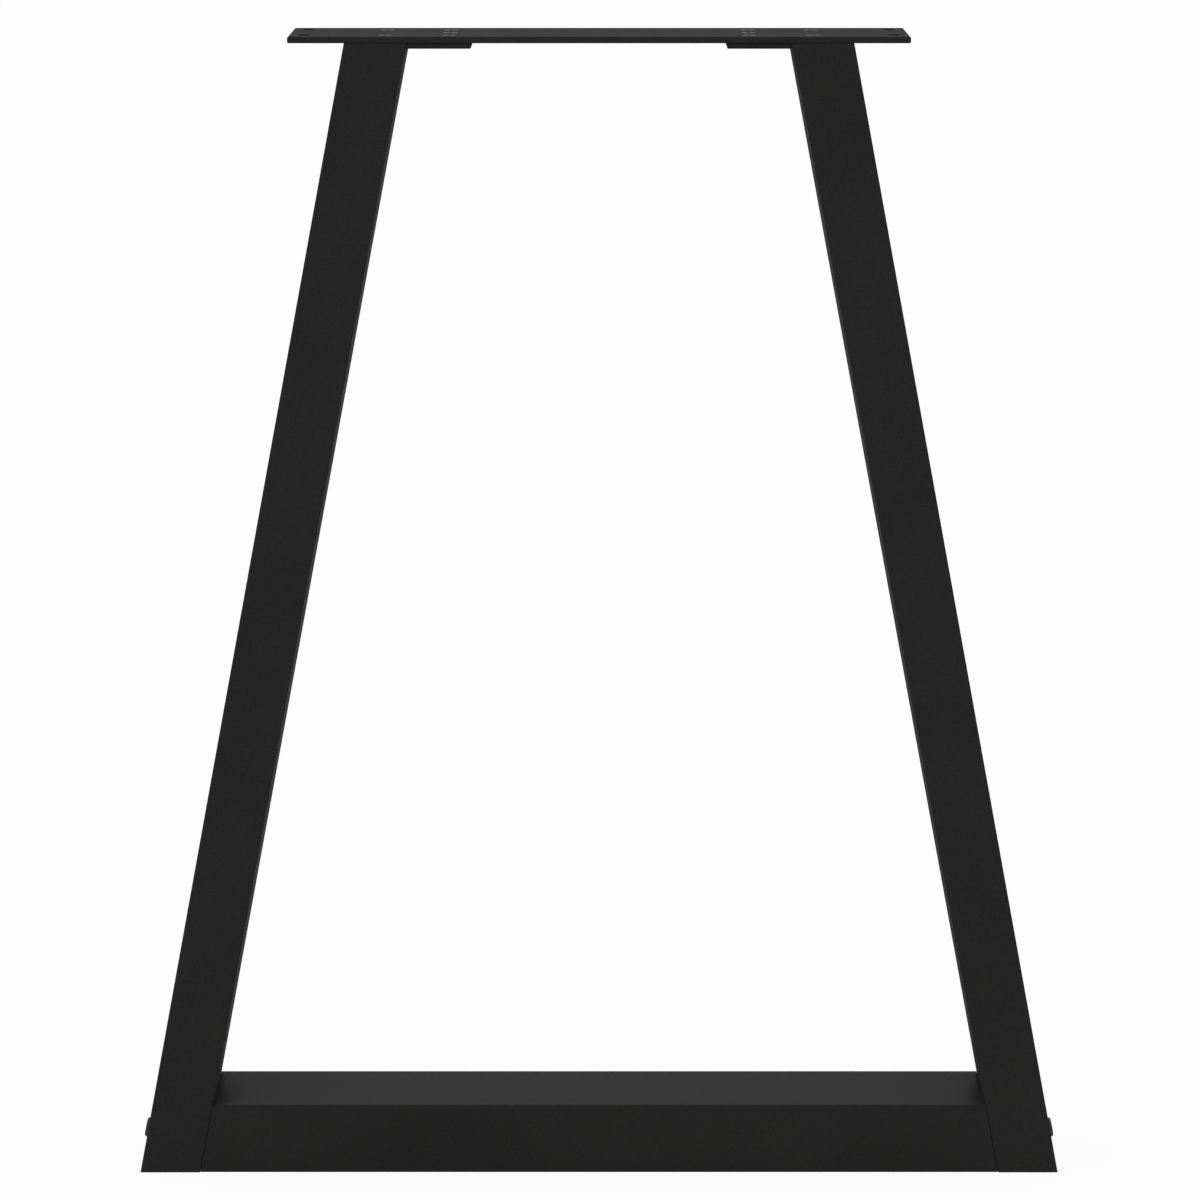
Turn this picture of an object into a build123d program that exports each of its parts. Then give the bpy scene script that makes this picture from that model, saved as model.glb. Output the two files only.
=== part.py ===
from build123d import *
from math import atan2, cos, sin, sqrt, tan
import os

# Bolt-together trapezoid leg frame for a dining table, in millimetres.
# Two leaning box-section legs hang from a flat top plate by tabs let into their upper ends.
# A box-section beam closes the frame between the legs and stands on the floor with them.
# X runs across the frame, Y from front to back, Z up, from the floor below the plate's middle.

# Overall frame
frame_height = 730.0  # floor to the top of the plate
base_width = 592.0  # over the outer faces of the legs, at the floor
shoulder_width = 316.0  # over the outer faces of the legs, under the plate
frame_depth = 80.0  # front to back, the same for the tubes and the plate

# Tube sections
leg_width = 38.0  # square to the leg's lean
beam_height = 45.0
tube_wall = 1.5
tube_outer_radius = 1.0
tube_inner_radius = 0.5

# Top plate
plate_length = 386.0
plate_thickness = 4.0
plate_edge_radius = 1.0
table_hole_diameter = 8.0  # for the screws into the table top
table_hole_inset = 10.0  # from each end of the plate
hole_row_spacing = 45.0  # front row to back row, for all holes in the plate

# Tabs between the legs and the plate
tab_reach = 40.0  # past the inner face of the leg
tab_thickness = 3.5
tab_edge_chamfer = 0.5

# Plate screws, M5 countersunk with a hexagon socket
screw_diameter = 5.0
screw_head_diameter = 10.0
screw_hole_diameter = 5.5
screw_socket_flats = 3.0
screw_socket_depth = 1.8
screw_sink = 0.2  # head below the face of the plate
screw_tip_reach = 0.8  # past the underside of the tab
tab_screw_inset = 14.0  # from the free end of the tab
leg_screw_inset = 14.0  # from the inner face of the leg

# Beam bolts, M6 with a low rounded head and a hexagon socket
bolt_diameter = 6.0
bolt_head_diameter = 12.5
bolt_head_height = 2.0
bolt_head_rim = 0.6
bolt_crown_diameter = 9.0
bolt_socket_flats = 4.0
bolt_socket_depth = 1.6
bolt_tip_reach = 1.5  # past the nut
bolt_hole_diameter = 7.0
bolt_height = 26.5  # above the floor, at the outer face of the leg
bolt_inset = 13.0  # from the front and back faces of the leg

# Pieces inside the tubes
foot_plate_thickness = 3.0
end_plate_thickness = 4.0
nut_flats = 10.0
nut_height = 5.0
sleeve_diameter = 12.0

# Fits
weld_fit = 0.2  # round a plate welded inside a tube
thread_fit = 0.05  # between a screw and its tapped hole
screw_fit = 0.1  # round a countersunk head
seam_gap = 0.1  # from the cut end of the beam to the leg

# Lean of the legs. The outward direction is square to the faces of the right leg.
leg_top = frame_height - plate_thickness
lean = atan2((base_width - shoulder_width) / 2, leg_top)
outward = Vector(cos(lean), 0, sin(lean))
leg_span = leg_width / cos(lean)  # the leg's width along a level line
end_trim = leg_width * tan(lean)
leg_run = leg_top / cos(lean)
leg_bore_width = leg_width - 2 * tube_wall
beam_bore_height = beam_height - 2 * tube_wall
bore_depth = frame_depth - 2 * tube_wall
bolt_spacing = frame_depth - 2 * bolt_inset

# Section plane of the right leg, square to its lean, and the seats on its two faces
leg_section = Plane(
    origin=(base_width / 2 - leg_span / 2, 0, 0),
    x_dir=outward,
    z_dir=(-sin(lean), 0, cos(lean)),
)
bolt_seat = Plane(
    origin=(base_width / 2 - bolt_height * tan(lean), 0, bolt_height),
    x_dir=(0, 1, 0),
    z_dir=outward,
)
right_inner_face = Plane(
    origin=(base_width / 2 - leg_span, 0, 0),
    x_dir=(0, 1, 0),
    z_dir=-outward,
)
left_inner_face = Plane(
    origin=(leg_span - base_width / 2, 0, 0),
    x_dir=(0, 1, 0),
    z_dir=(cos(lean), 0, -sin(lean)),
)

# Tab between its free end and the outer wall of the leg
tab_root_x = shoulder_width / 2 - leg_span
tab_free_x = tab_root_x - tab_reach
tab_back_x = shoulder_width / 2 - tube_wall / cos(lean) - weld_fit
tab_middle_x = (tab_free_x + tab_back_x) / 2
tab_length = tab_back_x - tab_free_x

# Screw places on the right-hand side: a row of three over the tab and a pair over the leg
tab_screw_x = tab_free_x + tab_screw_inset
leg_screw_x = tab_root_x + leg_screw_inset
screw_places = [
    (tab_screw_x, -hole_row_spacing / 2),
    (tab_screw_x, 0),
    (tab_screw_x, hole_row_spacing / 2),
    (leg_screw_x, -hole_row_spacing / 2),
    (leg_screw_x, hole_row_spacing / 2),
]

# Top plate
with BuildPart() as top_plate:
    with BuildSketch(Plane.XY.offset(leg_top)):
        Rectangle(plate_length, frame_depth)
    extrude(amount=plate_thickness)
    fillet(top_plate.edges().filter_by(Axis.Z, reverse=True), radius=plate_edge_radius)
    with Locations((0, 0, frame_height)):
        with GridLocations(plate_length - 2 * table_hole_inset, hole_row_spacing, 2, 2):
            Hole(radius=table_hole_diameter / 2)
    with Locations((0, 0, frame_height)):
        with Locations(*screw_places, *[(-x, y) for x, y in screw_places]):
            CounterSinkHole(
                radius=screw_hole_diameter / 2,
                counter_sink_radius=screw_head_diameter / 2 + screw_sink + screw_fit,
                counter_sink_angle=90,
            )

# Right leg tube, cut level at both ends, with a notch for the tab and holes for the beam bolts
with BuildPart() as leg_tube:
    with BuildSketch(leg_section.offset(-end_trim)):
        RectangleRounded(leg_width, frame_depth, tube_outer_radius)
        RectangleRounded(leg_bore_width, bore_depth, tube_inner_radius, mode=Mode.SUBTRACT)
    extrude(amount=leg_run + 2 * end_trim)
    split(bisect_by=Plane.XY, keep=Keep.TOP)
    split(bisect_by=Plane.XY.offset(leg_top), keep=Keep.BOTTOM)
    with BuildSketch(Plane.XY.offset(leg_top)):
        with Locations((tab_middle_x, 0)):
            Rectangle(tab_length, bore_depth)
    extrude(amount=-tab_thickness, mode=Mode.SUBTRACT)
    with BuildSketch(bolt_seat):
        with GridLocations(bolt_spacing, 0, 2, 1):
            Circle(bolt_hole_diameter / 2)
    extrude(amount=-leg_width, mode=Mode.SUBTRACT)

# Right leg tab, level with the top of the tube and tapped for the plate screws
with BuildPart() as leg_tab:
    with BuildSketch(Plane.XY.offset(leg_top)):
        with Locations((tab_middle_x, 0)):
            Rectangle(tab_length, bore_depth - 2 * weld_fit)
    extrude(amount=-tab_thickness)
    chamfer(leg_tab.edges(), length=tab_edge_chamfer)
    with Locations((0, 0, leg_top)):
        with Locations(*screw_places):
            Hole(radius=screw_diameter / 2 + thread_fit)

# Right foot plate, closing the tube level with the floor
with BuildPart() as foot_plate:
    with BuildSketch(leg_section.offset(-end_trim)):
        RectangleRounded(leg_bore_width - 2 * weld_fit, bore_depth - 2 * weld_fit, tube_inner_radius)
    extrude(amount=foot_plate_thickness / cos(lean) + 2 * end_trim)
    split(bisect_by=Plane.XY, keep=Keep.TOP)
    split(bisect_by=Plane.XY.offset(foot_plate_thickness), keep=Keep.BOTTOM)

# Bolt sleeves, between the two walls of each leg
with BuildPart() as bolt_sleeves:
    with BuildSketch(bolt_seat.offset(-tube_wall)):
        with GridLocations(bolt_spacing, 0, 2, 1):
            Circle(sleeve_diameter / 2)
            Circle(bolt_hole_diameter / 2, mode=Mode.SUBTRACT)
    extrude(amount=-leg_bore_width)
    mirror(about=Plane.YZ)

# Cross beam, with both ends cut to the lean of the legs
with BuildPart() as cross_beam:
    with BuildSketch(Plane.YZ):
        with Locations((0, beam_height / 2)):
            RectangleRounded(frame_depth, beam_height, tube_outer_radius)
            RectangleRounded(bore_depth, beam_bore_height, tube_inner_radius, mode=Mode.SUBTRACT)
    extrude(amount=base_width / 2, both=True)
    split(bisect_by=right_inner_face.offset(seam_gap), keep=Keep.TOP)
    split(bisect_by=left_inner_face.offset(seam_gap), keep=Keep.TOP)

# Right beam end plate, seated on the inner face of the leg
with BuildPart() as beam_end_plate:
    with BuildSketch(Plane.YZ):
        with Locations((0, beam_height / 2)):
            RectangleRounded(bore_depth - 2 * weld_fit, beam_bore_height - 2 * weld_fit, tube_inner_radius)
    extrude(amount=base_width / 2)
    split(bisect_by=right_inner_face, keep=Keep.TOP)
    split(bisect_by=right_inner_face.offset(end_plate_thickness), keep=Keep.BOTTOM)
    with BuildSketch(bolt_seat.offset(-leg_width)):
        with GridLocations(bolt_spacing, 0, 2, 1):
            Circle(bolt_hole_diameter / 2)
    extrude(amount=-end_plate_thickness, mode=Mode.SUBTRACT)

# Weld nuts, on the back of each beam end plate
with BuildPart() as weld_nuts:
    with BuildSketch(bolt_seat.offset(-leg_width - end_plate_thickness)):
        with GridLocations(bolt_spacing, 0, 2, 1):
            RegularPolygon(radius=nut_flats / 2, side_count=6, major_radius=False)
            Circle(bolt_diameter / 2 + thread_fit, mode=Mode.SUBTRACT)
    extrude(amount=-nut_height)
    mirror(about=Plane.YZ)

# One beam bolt, with the seat of its head at the origin and a dome that is part of a ball
bolt_length = leg_width + end_plate_thickness + nut_height + bolt_tip_reach
rim_radius = bolt_head_diameter / 2
crown_radius = bolt_crown_diameter / 2
dome_height = bolt_head_height - bolt_head_rim
dome_drop = (rim_radius**2 - crown_radius**2 - dome_height**2) / (2 * dome_height)
dome_radius = sqrt(rim_radius**2 + dome_drop**2)
shoulder_radius = sqrt(dome_radius**2 - (dome_drop + dome_height / 2) ** 2)
with BuildPart() as beam_bolt:
    with BuildSketch(Plane.XZ):
        with BuildLine():
            Polyline(
                (0, bolt_head_height),
                (0, -bolt_length),
                (bolt_diameter / 2, -bolt_length),
                (bolt_diameter / 2, 0),
                (rim_radius, 0),
                (rim_radius, bolt_head_rim),
            )
            ThreePointArc(
                (rim_radius, bolt_head_rim),
                (shoulder_radius, bolt_head_rim + dome_height / 2),
                (crown_radius, bolt_head_height),
            )
            Line((crown_radius, bolt_head_height), (0, bolt_head_height))
        make_face()
    revolve(axis=Axis.Z)
    with BuildSketch(Plane.XY.offset(bolt_head_height)):
        RegularPolygon(radius=bolt_socket_flats / 2, side_count=6, major_radius=False)
    extrude(amount=-bolt_socket_depth, mode=Mode.SUBTRACT)

# Beam bolts, side by side through each leg into the weld nuts
with BuildPart() as beam_bolts:
    with Locations(bolt_seat):
        with GridLocations(bolt_spacing, 0, 2, 1):
            add(beam_bolt.part)
    mirror(about=Plane.YZ)

# One plate screw, with the face of the plate at the origin
screw_length = plate_thickness + tab_thickness + screw_tip_reach
screw_cone_height = (screw_head_diameter - screw_diameter) / 2
with BuildPart() as plate_screw:
    with BuildSketch(Plane.XZ):
        with BuildLine():
            Polyline(
                (0, -screw_sink),
                (screw_head_diameter / 2, -screw_sink),
                (screw_diameter / 2, -screw_sink - screw_cone_height),
                (screw_diameter / 2, -screw_length),
                (0, -screw_length),
                close=True,
            )
        make_face()
    revolve(axis=Axis.Z)
    with BuildSketch(Plane.XY.offset(-screw_sink)):
        RegularPolygon(radius=screw_socket_flats / 2, side_count=6, major_radius=False)
    extrude(amount=-screw_socket_depth, mode=Mode.SUBTRACT)

# Plate screws, through the plate into each tab
with BuildPart() as plate_screws:
    with Locations((0, 0, frame_height)):
        with Locations(*screw_places):
            add(plate_screw.part)
    mirror(about=Plane.YZ)

# Pieces on the middle line, and the groups of like pieces
os.makedirs("parts", exist_ok=True)
whole_pieces = {
    "top_plate": top_plate,
    "cross_beam": cross_beam,
    "plate_screws": plate_screws,
    "beam_bolts": beam_bolts,
    "bolt_sleeves": bolt_sleeves,
    "weld_nuts": weld_nuts,
}
for name, piece in whole_pieces.items():
    piece.part.label = name
    export_step(piece.part, f"parts/{name}.step")

# Right-hand pieces and their mirror images on the left
side_pieces = {
    "leg_tube": leg_tube,
    "leg_tab": leg_tab,
    "foot_plate": foot_plate,
    "beam_end_plate": beam_end_plate,
}
for name, piece in side_pieces.items():
    piece.part.label = f"right_{name}"
    export_step(piece.part, f"parts/right_{name}.step")
    with BuildPart() as left_piece:
        mirror(piece.part, about=Plane.YZ)
    left_piece.part.label = f"left_{name}"
    export_step(left_piece.part, f"parts/left_{name}.step")
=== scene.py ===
import math

import bmesh
import bpy
import numpy as np
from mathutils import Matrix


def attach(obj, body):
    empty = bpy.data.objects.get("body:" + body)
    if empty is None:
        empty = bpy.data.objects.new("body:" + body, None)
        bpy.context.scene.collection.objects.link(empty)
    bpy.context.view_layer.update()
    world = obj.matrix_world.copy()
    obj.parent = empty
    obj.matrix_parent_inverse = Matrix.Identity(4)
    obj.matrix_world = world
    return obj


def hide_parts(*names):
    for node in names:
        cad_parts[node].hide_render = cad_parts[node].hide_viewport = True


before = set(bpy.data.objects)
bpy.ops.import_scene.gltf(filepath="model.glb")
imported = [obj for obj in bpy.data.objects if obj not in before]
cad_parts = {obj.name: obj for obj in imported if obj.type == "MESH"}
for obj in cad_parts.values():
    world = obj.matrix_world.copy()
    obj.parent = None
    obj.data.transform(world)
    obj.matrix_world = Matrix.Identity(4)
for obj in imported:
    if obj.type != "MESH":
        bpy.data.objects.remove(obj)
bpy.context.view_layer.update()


# Leg tubes, tabs and foot plates
# Each leg is a welded 80 x 38 mm steel box section with a tab let into its upper end and a plate
# closing its foot. The three are welded into one and powder coated together.
millimetre = 0.001
coat_dark = (0.0080, 0.0080, 0.0080, 1)
coat_pale = (0.0230, 0.0230, 0.0226, 1)
coat_grain_size = 0.6 * millimetre
coat_grain_shine = 0.15
coat_peel_size = 2.2 * millimetre
coat_peel_share = 0.4
coat_cloud_size = 90 * millimetre
coat_cloud_tone = 0.4
coat_cloud_roughness = 0.10
coat_relief = 0.12 * millimetre
# Painted shade: the near-black laid over the walls of the plate's plain holes, where shade falls
hole_shade_black = (0.0020, 0.0020, 0.0020, 1)


class Signal:
    """One output of a node. Sums written with it add Math nodes to the same graph."""

    def __init__(self, graph, socket):
        self.graph = graph
        self.socket = socket

    def maths(self, operation, other=0.0):
        values = {"Value": self, "Value_001": other}
        return self.graph.node("ShaderNodeMath", {"operation": operation}, values)

    def beside(self, output):
        """Another output of the same node."""
        outputs = {entry.identifier: entry for entry in self.socket.node.outputs}
        return Signal(self.graph, outputs[output])

    def __add__(self, other):
        return self.maths("ADD", other)

    def __sub__(self, other):
        return self.maths("SUBTRACT", other)

    def __rsub__(self, other):
        values = {"Value": other, "Value_001": self}
        return self.graph.node("ShaderNodeMath", {"operation": "SUBTRACT"}, values)

    def __mul__(self, other):
        return self.maths("MULTIPLY", other)

    def __truediv__(self, other):
        return self.maths("DIVIDE", other)

    def at_least(self, other):
        return self.maths("MAXIMUM", other)

    def at_most(self, other):
        return self.maths("MINIMUM", other)

    __radd__ = __add__
    __rmul__ = __mul__


class Graph:
    """A node tree while it is built, for a finish or for a shape."""

    def __init__(self, tree):
        self.tree = tree
        tree.nodes.clear()

    def node(self, kind, settings=(), sockets=(), output=None):
        """Adds a node and gives its first output, or the output that is named."""
        made = self.tree.nodes.new(kind)
        for name, value in dict(settings).items():
            setattr(made, name, value)
        entries = {entry.identifier: entry for entry in made.inputs}
        for name, value in dict(sockets).items():
            for link in value if isinstance(value, list) else [value]:
                if isinstance(link, Signal):
                    self.tree.links.new(link.socket, entries[name])
                else:
                    entries[name].default_value = link
        for entry in made.outputs:
            if entry.enabled and output in (None, entry.identifier):
                return Signal(self, entry)


def new_finish(name):
    finish = bpy.data.materials.new(name)
    finish.use_nodes = True
    return finish, Graph(finish.node_tree)


def noise(graph, place, size, detail):
    settings = {"Vector": place, "Scale": 1 / size, "Detail": detail}
    return graph.node("ShaderNodeTexNoise", sockets=settings)


def blend(graph, share, first, second):
    colours = {"Factor_Float": share, "A_Color": first, "B_Color": second}
    return graph.node("ShaderNodeMix", {"data_type": "RGBA"}, colours, "Result_Color")


def powder_coat(name, tone, roughness, gloss, painted_shade=None):
    """Satin black powder coat: fine grain, a soft orange peel and slow clouds in tone and gloss.

    A tone of 0 is the darkest and 1 the palest. Where the mask passed in gives 1, painted shade:
    a flat near-black diffuse takes the place of the coat.
    """
    finish, graph = new_finish(name)
    place = graph.node("ShaderNodeTexCoord", output="Object")
    grain = noise(graph, place, coat_grain_size, detail=2)
    peel = noise(graph, place, coat_peel_size, detail=1)
    cloud = noise(graph, place, coat_cloud_size, detail=2)
    paleness = tone + (grain - 0.5) + coat_cloud_tone * (cloud - 0.5)
    dullness = roughness + coat_cloud_roughness * (cloud - 0.5) - coat_grain_shine * (grain - 0.5)
    height = (1 - coat_peel_share) * grain + coat_peel_share * peel
    bump = {"Height": height, "Strength": 1.0, "Distance": coat_relief}
    surface = graph.node(
        "ShaderNodeBsdfPrincipled",
        sockets={
            "Base Color": blend(graph, paleness, coat_dark, coat_pale),
            "Roughness": dullness,
            "Specular IOR Level": gloss,
            "Normal": graph.node("ShaderNodeBump", sockets=bump),
        },
    )
    # Painted shade: a flat near-black diffuse is mixed in over the coat where the mask gives 1
    if painted_shade:
        hole_shade = graph.node("ShaderNodeBsdfDiffuse", sockets={"Color": hole_shade_black})
        shares = {"Fac": painted_shade(graph, place), "Shader": surface, "Shader_001": hole_shade}
        surface = graph.node("ShaderNodeMixShader", sockets=shares)
    graph.node("ShaderNodeOutputMaterial", sockets={"Surface": surface})
    return finish


def dress(node, finish):
    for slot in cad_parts[node].material_slots:
        slot.material = finish


# Painted light: legs, beam and plate share one black powder coat, but each piece has its own copy
# with a tone set for how light falls on it
leg_tone_for_light = 0.56
leg_roughness = 0.90
leg_gloss = 0.10
leg_coat = powder_coat("leg_coat", leg_tone_for_light, leg_roughness, leg_gloss)
for side in ("left", "right"):
    for piece in ("leg_tube", "leg_tab", "foot_plate"):
        dress(f"{side}_{piece}", leg_coat)


# Cross beam
# A steel box section that stands on the floor between the legs, with its ends cut to their lean.
# A plate is welded inside each end, and the beam is powder coated with both in place.
# Painted light: the beam's copy of the coat is the palest, to lift its faces to the brightness the
# light gives them
beam_tone_for_light = 0.73
beam_roughness = 0.42
beam_gloss = 0.012
beam_coat = powder_coat("beam_coat", beam_tone_for_light, beam_roughness, beam_gloss)
for node in ("cross_beam", "left_beam_end_plate", "right_beam_end_plate"):
    dress(node, beam_coat)


# Weld nuts and bolt sleeves
# Hexagon nuts welded behind the end plates of the beam, and short lengths of tube that stand
# between the walls of each leg round the bolts. Both are bare steel in its plain mill finish.
mill_dark = (0.36, 0.37, 0.39, 1)
mill_pale = (0.56, 0.57, 0.59, 1)
mill_cloud_size = 2.5 * millimetre
mill_roughness = 0.38
mill_cloud_roughness = 0.25


def mill_steel(name):
    """Bare steel: a grey metal with soft clouds that also change its shine."""
    finish, graph = new_finish(name)
    place = graph.node("ShaderNodeTexCoord", output="Object")
    cloud = noise(graph, place, mill_cloud_size, detail=3)
    surface = graph.node(
        "ShaderNodeBsdfPrincipled",
        sockets={
            "Base Color": blend(graph, cloud, mill_dark, mill_pale),
            "Roughness": mill_roughness + mill_cloud_roughness * (cloud - 0.5),
            "Metallic": 1.0,
        },
    )
    graph.node("ShaderNodeOutputMaterial", sockets={"Surface": surface})
    return finish


hidden_steel = mill_steel("hidden_steel")
for node in ("weld_nuts", "bolt_sleeves"):
    dress(node, hidden_steel)


# Beam bolts
# M6 bolts with a low rounded head and a hexagon socket, thread rolled and plated in black zinc.
# Two on each side go square through leg and sleeves into the weld nuts and pull the beam tight.
bolt_edge_round = 1.4 * millimetre
bolt_socket_flats = 4.0 * millimetre
bolt_socket_depth = 1.6 * millimetre
bolt_thread_pitch = 1.0 * millimetre
bolt_thread_depth = 0.6 * millimetre
socket_mouth = 0.3 * millimetre
shank_root = 0.2 * millimetre
same_corner = 0.001 * millimetre
round_sides = 48
head_rows = 16
rows_in_pitch = 8
crease_angle = math.radians(28)
spin_seed = 3
plating_dark = (0.016, 0.016, 0.017, 1)
plating_pale = (0.034, 0.034, 0.036, 1)
plating_roughness = 0.42
plating_gloss = 0.30
plating_metal = 0.7
plating_cloud_size = 1.6 * millimetre
plating_cloud_roughness = 0.20
plating_grain_size = 0.15 * millimetre
plating_grain_share = 0.4
plating_relief = 0.01 * millimetre
plating_relief_strength = 0.5


def black_zinc(name):
    """Black zinc plating: smoother than the powder coat, with small clouds and a fine grain."""
    finish, graph = new_finish(name)
    place = graph.node("ShaderNodeTexCoord", output="Object")
    cloud = noise(graph, place, plating_cloud_size, detail=2)
    grain = noise(graph, place, plating_grain_size, detail=1)
    paleness = (1 - plating_grain_share) * cloud + plating_grain_share * grain
    bump = {"Height": grain, "Strength": plating_relief_strength, "Distance": plating_relief}
    surface = graph.node(
        "ShaderNodeBsdfPrincipled",
        sockets={
            "Base Color": blend(graph, paleness, plating_dark, plating_pale),
            "Roughness": plating_roughness + plating_cloud_roughness * (cloud - 0.5),
            "Metallic": plating_metal * cloud,
            "Specular IOR Level": plating_gloss,
            "Normal": graph.node("ShaderNodeBump", sockets=bump),
        },
    )
    graph.node("ShaderNodeOutputMaterial", sockets={"Surface": surface})
    return finish


def solids_of(node):
    """The corners of each solid in a group of the frame, from left to right."""
    shape = bmesh.new()
    shape.from_mesh(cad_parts[node].data)
    bmesh.ops.remove_doubles(shape, verts=shape.verts, dist=same_corner)
    waiting = set(shape.verts)
    solids = []
    while waiting:
        found = [waiting.pop()]
        for corner in found:
            near = {edge.other_vert(corner) for edge in corner.link_edges} & waiting
            waiting -= near
            found.extend(near)
        solids.append(np.array([corner.co[:] for corner in found]))
    shape.free()
    return sorted(solids, key=lambda corners: tuple(corners.mean(axis=0).round(4)))


def measured(corners, axis):
    """The middle of a fastener's face, and how far each corner is below it and from the axis."""
    middle = corners.mean(axis=0)
    rise = (corners - middle) @ axis
    spread = np.linalg.norm(corners - middle - np.outer(rise, axis), axis=1)
    return middle + rise.max() * axis, rise.max() - rise, spread


def socket_fastener_tree():
    """A screw or bolt with a hexagon socket on each point, along its axis and below its face.

    The rim of the head is rounded, and a taper of 1 below it makes the head a countersunk one.
    """
    tree = bpy.data.node_groups.new("socket_fastener", "GeometryNodeTree")
    tree.interface.new_socket("Places", in_out="INPUT", socket_type="NodeSocketGeometry")
    turned_sizes = (
        "Length", "Shank radius", "Head radius", "Head height", "Edge round", "Taper",
    )
    cut_sizes = (
        "Socket flats", "Socket depth", "Socket mouth", "Thread pitch", "Thread depth",
    )
    for size in turned_sizes + cut_sizes:
        tree.interface.new_socket(size, in_out="INPUT", socket_type="NodeSocketFloat")
    tree.interface.new_socket("Finish", in_out="INPUT", socket_type="NodeSocketMaterial")
    tree.interface.new_socket("Fasteners", in_out="OUTPUT", socket_type="NodeSocketGeometry")
    graph = Graph(tree)
    places = graph.node("NodeGroupInput")
    given = {entry.name: Signal(graph, entry) for entry in places.socket.node.outputs}
    length, shank_radius, head_radius, head_height, edge_round, taper = (
        given[size] for size in turned_sizes
    )
    flats, socket_depth, mouth, pitch, groove_depth = (given[size] for size in cut_sizes)

    # Blanks of radius 1 and height 1, where a step counts from 0 at the top to 1 at the foot
    place = graph.node("GeometryNodeInputPosition")
    x = graph.node("ShaderNodeSeparateXYZ", sockets={"Vector": place})
    y = x.beside("Y")
    step = 0.5 - x.beside("Z")

    def turned(rows, radius, drop):
        blank = {"Vertices": round_sides, "Side Segments": rows, "Radius": 1.0, "Depth": 1.0}
        cylinder = graph.node("GeometryNodeMeshCylinder", sockets=blank)
        corner = {"X": x * radius, "Y": y * radius, "Z": 0 - drop}
        spot = graph.node("ShaderNodeCombineXYZ", sockets=corner)
        moved = {"Geometry": cylinder, "Position": spot}
        return graph.node("GeometryNodeSetPosition", sockets=moved)

    # Head: the first half of the rows turns over the rim, and the rest runs down to the seat
    turn = (2 * step).at_most(1) * (math.pi / 2)
    fall = (2 * step - 1).at_least(0)
    drop = edge_round * (1 - turn.maths("COSINE")) + fall * (head_height - edge_round)
    radius = head_radius - taper * drop - edge_round * (1 - turn.maths("SINE"))
    head = turned(head_rows, radius, drop)

    # Socket: a hexagon with a chamfered mouth
    prism = {"Vertices": 6, "Radius": flats / math.sqrt(3), "Depth": 2 * socket_depth}
    hexagon = graph.node("GeometryNodeMeshCylinder", sockets=prism)
    chamfer_slope = math.sqrt(3)
    flare = {
        "Vertices": round_sides,
        "Radius Bottom": flats / 2,
        "Radius Top": flats / 2 + 2 * chamfer_slope * mouth,
        "Depth": 2 * mouth,
    }
    chamfer = graph.node("GeometryNodeMeshCone", sockets=flare)
    sink = graph.node("ShaderNodeCombineXYZ", sockets={"Z": 0 - mouth})
    sunk = {"Geometry": chamfer, "Offset": sink}
    chamfer = graph.node("GeometryNodeSetPosition", sockets=sunk)
    exact_cut = {"operation": "DIFFERENCE", "solver": "EXACT"}
    cut = {"Mesh 1": head, "Mesh 2": [hexagon, chamfer]}
    head = graph.node("GeometryNodeMeshBoolean", exact_cut, cut)

    # Shank: a right-hand thread that fades out at the head, with a chamfered tip and a sunk root
    reach = length - head_height + shank_root
    drop = length - (1 - step) * reach
    lap = y.maths("ARCTAN2", x) / (2 * math.pi)
    phase = (0 - drop / pitch - lap).maths("FRACT")
    fade = ((drop - head_height) / pitch).at_least(0).at_most(1)
    groove = groove_depth * fade * (1 - (2 * phase - 1).maths("ABSOLUTE"))
    tip_radius = shank_radius - groove_depth + (length - drop)
    rows = rows_in_pitch * reach / pitch
    shank = turned(rows, (shank_radius - groove).at_most(tip_radius), drop)

    # Whole fastener: one closed solid, smooth apart from its creases
    exact_join = {"operation": "UNION", "solver": "EXACT"}
    whole = graph.node("GeometryNodeMeshBoolean", exact_join, {"Mesh 2": [head, shank]})
    smooth = graph.node("GeometryNodeSetShadeSmooth", {"domain": "FACE"}, {"Geometry": whole})
    crease = graph.node("GeometryNodeInputMeshEdgeAngle").maths("GREATER_THAN", crease_angle)
    sharp = {"Geometry": smooth, "Selection": crease, "Shade Smooth": False}
    whole = graph.node("GeometryNodeSetShadeSmooth", {"domain": "EDGE"}, sharp)

    # One on each point, upright on its axis and driven home at a random turn
    vector = {"data_type": "FLOAT_VECTOR"}
    axis = graph.node("GeometryNodeInputNamedAttribute", vector, {"Name": "axis"})
    upright = graph.node("FunctionNodeAlignRotationToVector", {"axis": "Z"}, {"Vector": axis})
    any_turn = {"Max_001": 2 * math.pi, "Seed": spin_seed}
    angle = graph.node("FunctionNodeRandomValue", {"data_type": "FLOAT"}, any_turn, "Value_001")
    about_axis = {"Axis": (0, 0, 1), "Angle": angle}
    spin = graph.node("FunctionNodeAxisAngleToRotation", sockets=about_axis)
    driven = {"Rotation": upright, "Rotate By": spin}
    driven = graph.node("FunctionNodeRotateRotation", {"rotation_space": "LOCAL"}, driven)
    stand = {"Points": places, "Instance": whole, "Rotation": driven}
    fasteners = graph.node("GeometryNodeInstanceOnPoints", sockets=stand)
    fasteners = graph.node("GeometryNodeRealizeInstances", sockets={"Geometry": fasteners})
    coated = {"Geometry": fasteners, "Material": given["Finish"]}
    fasteners = graph.node("GeometryNodeSetMaterial", sockets=coated)
    result = tree.interface.items_tree["Fasteners"].identifier
    graph.node("NodeGroupOutput", sockets={result: fasteners})
    return tree


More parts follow.
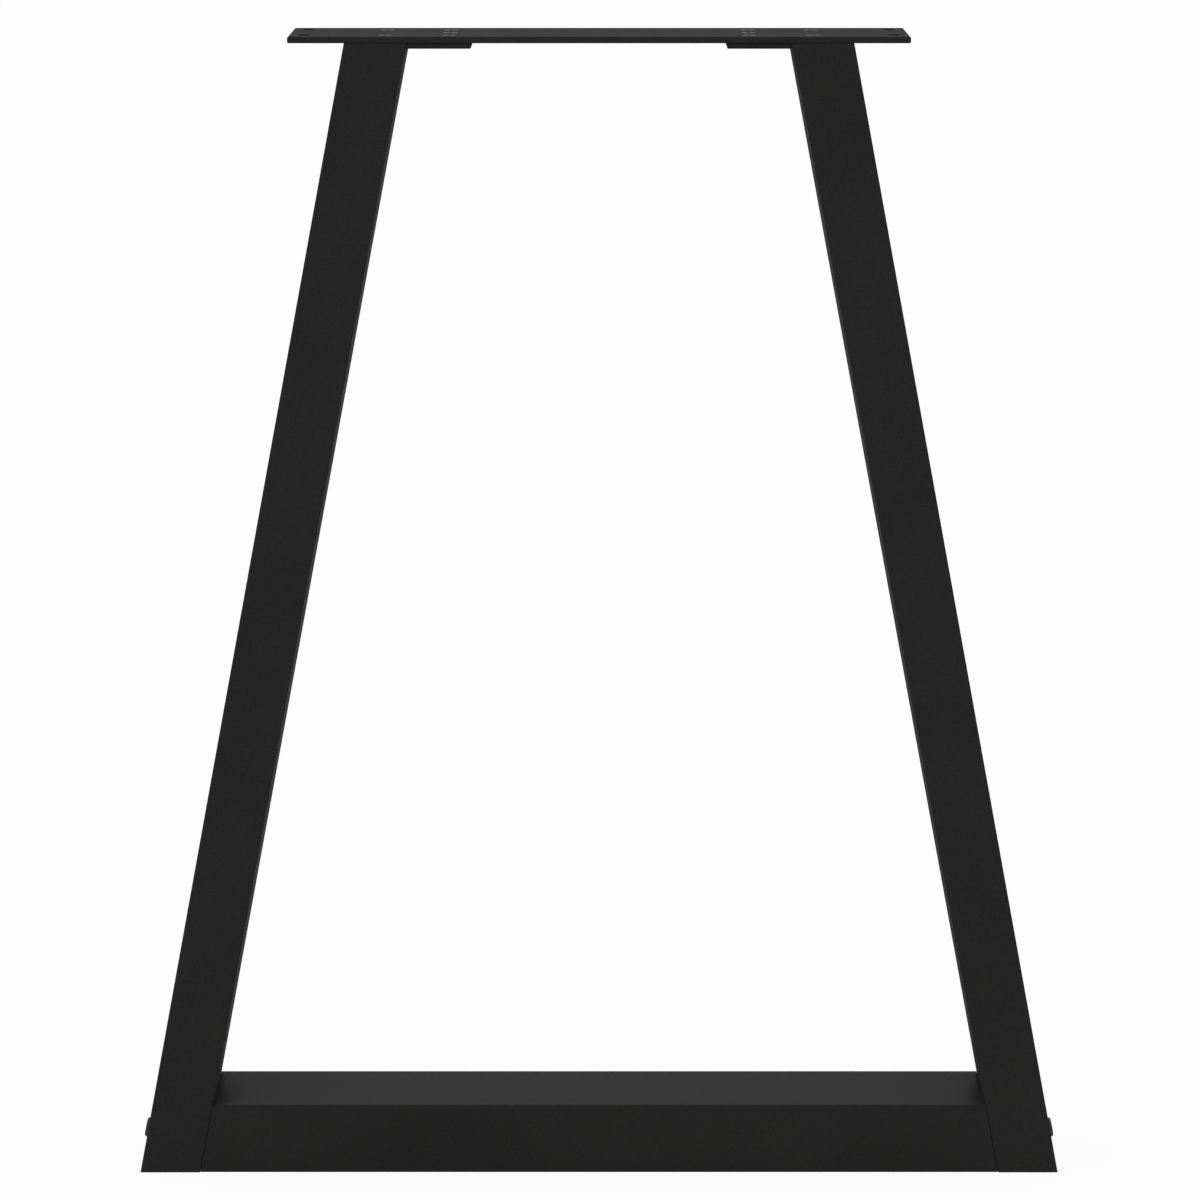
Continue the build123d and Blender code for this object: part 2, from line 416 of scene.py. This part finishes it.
def set_fasteners(node, faces, axes, sizes):
    """Puts fasteners of the given sizes in the place of a group in the frame."""
    points = bpy.data.meshes.new(f"{node}_places")
    points.from_pydata([tuple(face) for face in faces], [], [])
    attribute = points.attributes.new("axis", "FLOAT_VECTOR", "POINT")
    attribute.data.foreach_set("vector", np.array(axes, dtype=np.float32).ravel())
    maker = bpy.data.objects.new(f"{node}_maker", points)
    bpy.context.scene.collection.objects.link(maker)
    modifier = maker.modifiers.new("fasteners", "NODES")
    modifier.node_group = fastener_tree
    for name, value in sizes.items():
        modifier[fastener_tree.interface.items_tree[name].identifier] = value
    evaluated = maker.evaluated_get(bpy.context.evaluated_depsgraph_get())
    mesh = bpy.data.meshes.new_from_object(evaluated)
    bpy.data.objects.remove(maker)
    piece = bpy.data.objects.new(f"{node}_threaded", mesh)
    bpy.context.scene.collection.objects.link(piece)
    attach(piece, "root")
    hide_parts(node)


fastener_tree = socket_fastener_tree()
fastener_zinc = black_zinc("fastener_zinc")
leg_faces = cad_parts["right_leg_tube"].data.polygons
square_to_leg = max(leg_faces, key=lambda face: face.area).normal
bolts = solids_of("beam_bolts")
bolt_axes = []
for corners in bolts:
    side = np.sign(corners[:, 0].mean())
    bolt_axes.append(np.array((side * abs(square_to_leg.x), 0, abs(square_to_leg.z))))
bolt_faces = [measured(corners, axis)[0] for corners, axis in zip(bolts, bolt_axes)]
drop, spread = measured(bolts[0], bolt_axes[0])[1:]
bolt_length = drop.max()
bolt_radius = spread[drop > bolt_length - bolt_edge_round].max()
clear_of_shank = 1.5 * bolt_radius
bolt_sizes = {
    "Length": bolt_length,
    "Shank radius": bolt_radius,
    "Head radius": spread.max(),
    "Head height": drop[spread > clear_of_shank].max(),
    "Edge round": bolt_edge_round,
    "Taper": 0.0,
    "Socket flats": bolt_socket_flats,
    "Socket depth": bolt_socket_depth,
    "Socket mouth": socket_mouth,
    "Thread pitch": bolt_thread_pitch,
    "Thread depth": bolt_thread_depth,
    "Finish": fastener_zinc,
}
set_fasteners("beam_bolts", bolt_faces, bolt_axes, bolt_sizes)


# Top plate
# A flat of 4 mm mild steel with rounded edges, two plain holes at each end for the table's screws
# and countersunk holes for its own. The walls of the plain holes are painted near-black as shade.
# Painted shade: the plate's copy of the coat is the darkest, to bring its top down to the
# brightness the light gives it
plate_tone_for_light = 0.50
plate_roughness = 0.87
plate_gloss = 0.12
table_hole_x = 183.0 * millimetre
table_hole_y = 22.5 * millimetre
table_hole_reach = 4.15 * millimetre


def shade_in_table_holes(graph, place):
    """Painted shade: 1 on the walls of the four plain holes and 0 elsewhere."""
    x = graph.node("ShaderNodeSeparateXYZ", sockets={"Vector": place})
    across = x.maths("ABSOLUTE") - table_hole_x
    along = x.beside("Y").maths("ABSOLUTE") - table_hole_y
    return (across * across + along * along).maths("LESS_THAN", table_hole_reach ** 2)


plate_coat_and_hole_shade = powder_coat("plate_coat_and_hole_shade", plate_tone_for_light, plate_roughness, plate_gloss, shade_in_table_holes)
dress("top_plate", plate_coat_and_hole_shade)


# Plate screws
# M5 countersunk screws with a hexagon socket, made and plated as the bolts are. Five on each side
# draw the plate down on its tab, with heads just below its face and tips just through the tab.
screw_edge_round = 0.15 * millimetre
screw_socket_flats = 3.0 * millimetre
screw_socket_depth = 1.8 * millimetre
screw_thread_pitch = 0.8 * millimetre
screw_thread_depth = 0.5 * millimetre
screws = solids_of("plate_screws")
screw_axes = [np.array((0.0, 0.0, 1.0)) for _ in screws]
screw_faces = [measured(corners, axis)[0] for corners, axis in zip(screws, screw_axes)]
drop, spread = measured(screws[0], screw_axes[0])[1:]
screw_radius = spread[drop > drop.max() - screw_edge_round].max()
screw_sizes = {
    "Length": drop.max(),
    "Shank radius": screw_radius,
    "Head radius": spread.max(),
    "Head height": spread.max() - screw_radius,
    "Edge round": screw_edge_round,
    "Taper": 1.0,
    "Socket flats": screw_socket_flats,
    "Socket depth": screw_socket_depth,
    "Socket mouth": socket_mouth,
    "Thread pitch": screw_thread_pitch,
    "Thread depth": screw_thread_depth,
    "Finish": fastener_zinc,
}
set_fasteners("plate_screws", screw_faces, screw_axes, screw_sizes)


# Floor, light and camera
# A plain white floor that runs out past the view, under a white sky that is stronger on the left,
# and one broad soft lamp from above the front. The camera looks slightly down from three metres.
pure_white = (1, 1, 1, 1)
sky_fill = 0.85
sky_left_share = 0.5
floor_white = (0.9, 0.9, 0.9, 1)
floor_glow = 0.92
floor_reach = 60.0
lamp_strength = 0.45
lamp_spread = math.radians(60)
lamp_tilt = math.radians(35)
camera_lens = 149.3
camera_sensor = 36.0
camera_place = (0.0006, -3.1288, 0.9534)
camera_dip = math.radians(10.592)


def seen_as_backdrop(graph):
    """1 for a ray from the camera, a gloss or a glass, and 0 for the light that falls on things."""
    camera = graph.node("ShaderNodeLightPath", output="Is Camera Ray")
    mirrored = camera.beside("Is Glossy Ray").at_least(camera.beside("Is Transmission Ray"))
    return camera.at_least(mirrored)


sky = bpy.data.worlds.new("sky")
sky.use_nodes = True
bpy.context.scene.world = sky
graph = Graph(sky.node_tree)
direction = graph.node("ShaderNodeTexCoord", output="Generated")
to_right = graph.node("ShaderNodeSeparateXYZ", sockets={"Vector": direction})
fill = sky_fill * (1 - sky_left_share * to_right)
strength = fill + (1 - fill) * seen_as_backdrop(graph)
light = graph.node("ShaderNodeBackground", sockets={"Color": pure_white, "Strength": strength})
graph.node("ShaderNodeOutputWorld", sockets={"Surface": light})

floor_finish, graph = new_finish("floor_white")
matt = graph.node("ShaderNodeBsdfDiffuse", sockets={"Color": floor_white})
glow = graph.node("ShaderNodeEmission", sockets={"Color": pure_white, "Strength": 1.0})
mixed = {"Fac": floor_glow * seen_as_backdrop(graph), "Shader": matt, "Shader_001": glow}
surface = graph.node("ShaderNodeMixShader", sockets=mixed)
graph.node("ShaderNodeOutputMaterial", sockets={"Surface": surface})
floor_shape = bmesh.new()
bmesh.ops.create_grid(floor_shape, x_segments=1, y_segments=1, size=floor_reach)
floor_mesh = bpy.data.meshes.new("floor")
floor_shape.to_mesh(floor_mesh)
floor_shape.free()
floor_mesh.materials.append(floor_finish)
floor = bpy.data.objects.new("floor", floor_mesh)
bpy.context.scene.collection.objects.link(floor)

lamp_data = bpy.data.lights.new("soft_lamp", "SUN")
lamp_data.energy = lamp_strength
lamp_data.angle = lamp_spread
lamp = bpy.data.objects.new("soft_lamp", lamp_data)
lamp.rotation_euler = (lamp_tilt, 0, 0)
bpy.context.scene.collection.objects.link(lamp)

camera_data = bpy.data.cameras.new("camera")
camera_data.lens = camera_lens
camera_data.sensor_width = camera_sensor
camera = bpy.data.objects.new("camera", camera_data)
camera.location = camera_place
camera.rotation_euler = (math.pi / 2 - camera_dip, 0, 0)
bpy.context.scene.collection.objects.link(camera)
bpy.context.scene.camera = camera
bpy.context.scene.view_settings.view_transform = "Standard"
